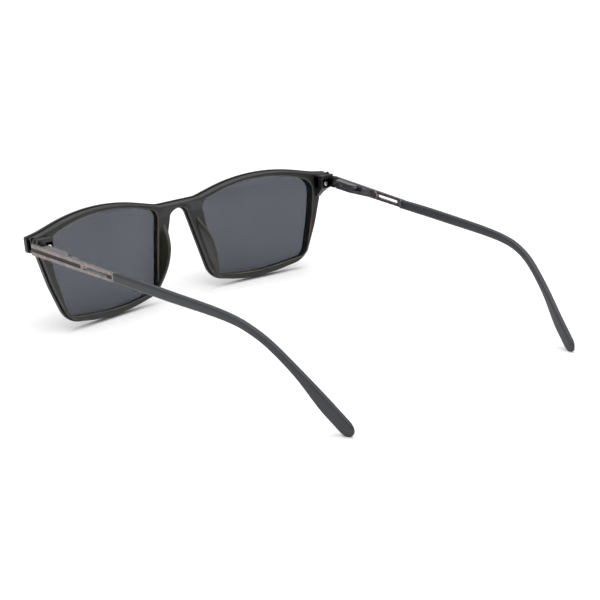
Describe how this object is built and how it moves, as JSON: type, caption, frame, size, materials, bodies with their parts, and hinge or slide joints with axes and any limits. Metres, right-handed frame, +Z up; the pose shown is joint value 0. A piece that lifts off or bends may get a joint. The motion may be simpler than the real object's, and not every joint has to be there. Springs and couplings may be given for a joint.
{
  "type": "spectacles with clip-on sun lenses",
  "caption": "Rectangular spectacles with a close-fitting magnetic sun-lens clip, clear lenses, spring hinges and folding metal-fronted temples.",
  "frame": {"origin": "middle of the bounding box at ground level, under the lower rims and the temple tips", "axes": "+X to the wearer's left, along the front; +Y backwards along the temples; +Z up. The glasses face -Y."},
  "size_m": [0.142, 0.1483, 0.0407],
  "materials": {
    "front_frame": "matte translucent charcoal injection-moulded nylon",
    "clear_lens": "clear optical plastic",
    "tint_lens": "grey polarising sun lens",
    "clip_plastic": "matte charcoal",
    "magnet": "nickel-plated magnet",
    "black_metal": "black-coated hinge metal",
    "screw": "bright screw",
    "gunmetal": "diagonally brushed gunmetal",
    "inlay": "matte charcoal inlay",
    "steel": "plain steel",
    "spring_steel": "spring wire",
    "ferrule": "satin nickel",
    "arm_plastic": "satin slate grey plastic"
  },
  "bodies": {
    "front": {"front_frame": "front_frame", "lens_left": "clear_lens", "lens_right": "clear_lens", "frame_magnets": "magnet", "hinge_leaf_left": "black_metal", "hinge_leaf_right": "black_metal", "leaf_screw_left": "screw", "leaf_screw_right": "screw", "hinge_screw_left": "screw", "hinge_screw_right": "screw"},
    "clip": {"clip_frame": "clip_plastic", "clip_lens_left": "tint_lens", "clip_lens_right": "tint_lens", "clip_magnets": "magnet"},
    "hinge_eye_left": {"hinge_slider_left": "steel"},
    "temple_left": {"temple_bar_left": "gunmetal", "bar_inlay_left": "inlay", "spring_housing_left": "black_metal", "spring_bush_left": "steel", "hinge_spring_left": "spring_steel", "housing_screw_left": "screw", "arm_ferrule_left": "ferrule", "arm_core_left": "steel", "temple_arm_left": "arm_plastic"},
    "hinge_eye_right": {"hinge_slider_right": "steel"},
    "temple_right": {"temple_bar_right": "gunmetal", "bar_inlay_right": "inlay", "spring_housing_right": "black_metal", "spring_bush_right": "steel", "hinge_spring_right": "spring_steel", "housing_screw_right": "screw", "arm_ferrule_right": "ferrule", "arm_core_right": "steel", "temple_arm_right": "arm_plastic"}
  },
  "joints": [
    {"name": "clip_lift_off", "type": "slide", "parent": "front", "child": "clip", "axis": [0, -1, 0], "range_m": [0, 0.03]},
    {"name": "fold_left", "type": "hinge", "parent": "front", "child": "hinge_eye_left", "pos_m": [0.0682, -0.05775, 0.0335], "axis": [0, 0, 1], "range_deg": [-6, 82]},
    {"name": "spring_left", "type": "slide", "parent": "hinge_eye_left", "child": "temple_left", "axis": [-0.0819, 0.9966, 0], "range_m": [0, 0.0015], "stiffness_N_per_m": 4000, "springref_m": -0.0008, "deforming": ["hinge_spring_left"]},
    {"name": "fold_right", "type": "hinge", "parent": "front", "child": "hinge_eye_right", "pos_m": [-0.0682, -0.05775, 0.0335], "axis": [0, 0, -1], "range_deg": [-6, 74]},
    {"name": "spring_right", "type": "slide", "parent": "hinge_eye_right", "child": "temple_right", "axis": [0.0819, 0.9966, 0], "range_m": [0, 0.0015], "stiffness_N_per_m": 4000, "springref_m": -0.0008, "deforming": ["hinge_spring_right"]}
  ]
}
